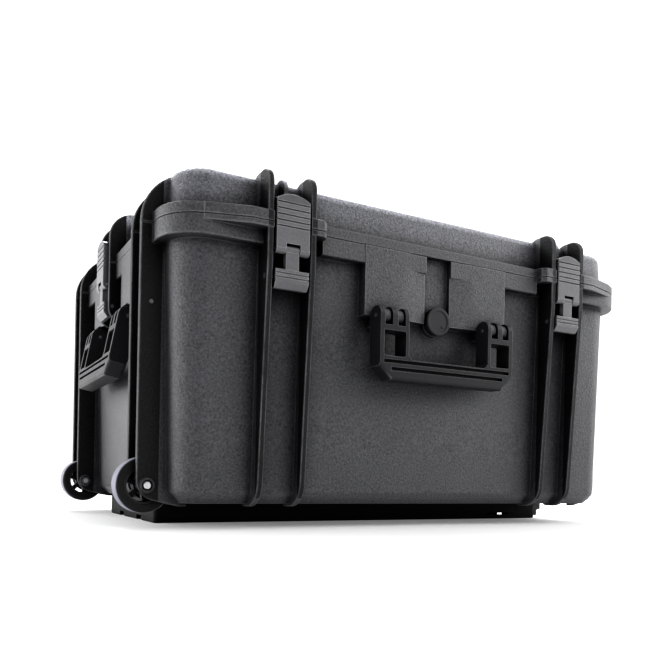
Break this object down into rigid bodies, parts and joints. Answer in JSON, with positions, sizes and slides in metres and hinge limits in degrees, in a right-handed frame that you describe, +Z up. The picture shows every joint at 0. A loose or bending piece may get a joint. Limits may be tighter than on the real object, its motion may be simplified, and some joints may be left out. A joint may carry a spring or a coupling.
{
  "type": "drone carrying case",
  "caption": "Wheeled hard transport case for a drone, with hinged lid, draw latches, swing handles, a slide-out pull handle and cut foam inside.",
  "frame": {"origin": "centre of the under-base block's bottom face, on the floor under the middle of the case", "axes": "+X along the length towards the pull handle, wheels at -X; -Y the latched front face; +Z up"},
  "size_m": [0.6972, 0.535, 0.379],
  "materials": {
    "shell_black": "fine moulded grain",
    "handle_black": "fine moulded grain",
    "latch_black": "satin moulded",
    "valve_black": "satin moulded",
    "hub_black": "satin moulded",
    "tyre": "smooth solid tyre",
    "seal_rubber": "matt",
    "foam_grey": "open cell foam",
    "steel": "zinc plated",
    "alloy": "anodised"
  },
  "bodies": {
    "base": {"base_shell": "shell_black", "foam_bottom_pad": "foam_grey", "foam_insert": "foam_grey", "handle_pins": "steel", "latch_pins": "steel", "hinge_pins": "steel", "corner_pins": "steel", "axle_bolts": "steel", "axle_nuts": "steel", "valve_body": "valve_black", "valve_nut": "valve_black", "trolley_housing": "shell_black", "housing_screws": "steel", "tube_guides": "valve_black"},
    "lid": {"lid_shell": "shell_black", "seal_ring": "seal_rubber", "foam_lid": "foam_grey"},
    "front_handle": {"front_handle": "handle_black"},
    "left_handle": {"left_handle": "handle_black"},
    "right_handle": {"right_handle": "handle_black"},
    "valve_knob": {"valve_knob": "valve_black"},
    "near_wheel": {"near_wheel_tyre": "tyre", "near_wheel_hub": "hub_black"},
    "far_wheel": {"far_wheel_tyre": "tyre", "far_wheel_hub": "hub_black"},
    "trolley": {"trolley_tubes": "alloy", "tube_end_stops": "valve_black", "trolley_grip": "handle_black"},
    "trolley_button": {"trolley_button": "valve_black"},
    "front_left_link": {"front_left_latch_link": "latch_black"},
    "front_left_lever": {"front_left_latch_lever": "latch_black", "front_left_lever_pin": "steel"},
    "front_right_link": {"front_right_latch_link": "latch_black"},
    "front_right_lever": {"front_right_latch_lever": "latch_black", "front_right_lever_pin": "steel"},
    "left_end_link": {"left_end_latch_link": "latch_black"},
    "left_end_lever": {"left_end_latch_lever": "latch_black", "left_end_lever_pin": "steel"},
    "right_end_link": {"right_end_latch_link": "latch_black"},
    "right_end_lever": {"right_end_latch_lever": "latch_black", "right_end_lever_pin": "steel"}
  },
  "joints": [
    {"name": "lid_hinge", "type": "hinge", "parent": "base", "child": "lid", "pos_m": [0, 0.256, 0.316], "axis": [-1, 0, 0], "range_deg": [0, 100]},
    {"name": "front_handle_swing", "type": "hinge", "parent": "base", "child": "front_handle", "pos_m": [0, -0.2585, 0.236], "axis": [-1, 0, 0], "range_deg": [0, 90]},
    {"name": "left_handle_swing", "type": "hinge", "parent": "base", "child": "left_handle", "pos_m": [-0.327, 0, 0.238], "axis": [0, 1, 0], "range_deg": [-11, 79]},
    {"name": "right_handle_swing", "type": "hinge", "parent": "base", "child": "right_handle", "pos_m": [0.327, 0, 0.238], "axis": [0, -1, 0], "range_deg": [0, 90]},
    {"name": "valve_turn", "type": "hinge", "parent": "base", "child": "valve_knob", "pos_m": [0, -0.2465, 0.242], "axis": [0, -1, 0], "range_deg": [0, 120]},
    {"name": "near_wheel_spin", "type": "hinge", "parent": "base", "child": "near_wheel", "pos_m": [-0.327, -0.16875, 0.045], "axis": [0, 1, 0], "continuous": true},
    {"name": "far_wheel_spin", "type": "hinge", "parent": "base", "child": "far_wheel", "pos_m": [-0.327, 0.16875, 0.045], "axis": [0, 1, 0], "continuous": true},
    {"name": "trolley_slide", "type": "slide", "parent": "base", "child": "trolley", "axis": [1, 0, 0], "range_m": [0, 0.35]},
    {"name": "trolley_button_press", "type": "slide", "parent": "trolley", "child": "trolley_button", "axis": [-1, 0, 0], "range_m": [0, 0.0025], "stiffness_N_per_m": 400},
    {"name": "front_left_link_swing", "type": "hinge", "parent": "base", "child": "front_left_link", "pos_m": [-0.19815, -0.251, 0.262], "axis": [1, 0, 0], "range_deg": [0, 25]},
    {"name": "front_left_lever_swing", "type": "hinge", "parent": "front_left_link", "child": "front_left_lever", "pos_m": [-0.19815, -0.256, 0.2905], "axis": [1, 0, 0], "range_deg": [0, 95]},
    {"name": "front_right_link_swing", "type": "hinge", "parent": "base", "child": "front_right_link", "pos_m": [0.19815, -0.251, 0.262], "axis": [1, 0, 0], "range_deg": [0, 25]},
    {"name": "front_right_lever_swing", "type": "hinge", "parent": "front_right_link", "child": "front_right_lever", "pos_m": [0.19815, -0.256, 0.2905], "axis": [1, 0, 0], "range_deg": [0, 95]},
    {"name": "left_end_link_swing", "type": "hinge", "parent": "base", "child": "left_end_link", "pos_m": [-0.3305, 0, 0.262], "axis": [0, -1, 0], "range_deg": [0, 25]},
    {"name": "left_end_lever_swing", "type": "hinge", "parent": "left_end_link", "child": "left_end_lever", "pos_m": [-0.3355, 0, 0.2905], "axis": [0, -1, 0], "range_deg": [0, 95]},
    {"name": "right_end_link_swing", "type": "hinge", "parent": "base", "child": "right_end_link", "pos_m": [0.3305, 0, 0.262], "axis": [0, 1, 0], "range_deg": [0, 25]},
    {"name": "right_end_lever_swing", "type": "hinge", "parent": "right_end_link", "child": "right_end_lever", "pos_m": [0.3355, 0, 0.2905], "axis": [0, 1, 0], "range_deg": [0, 95]}
  ]
}
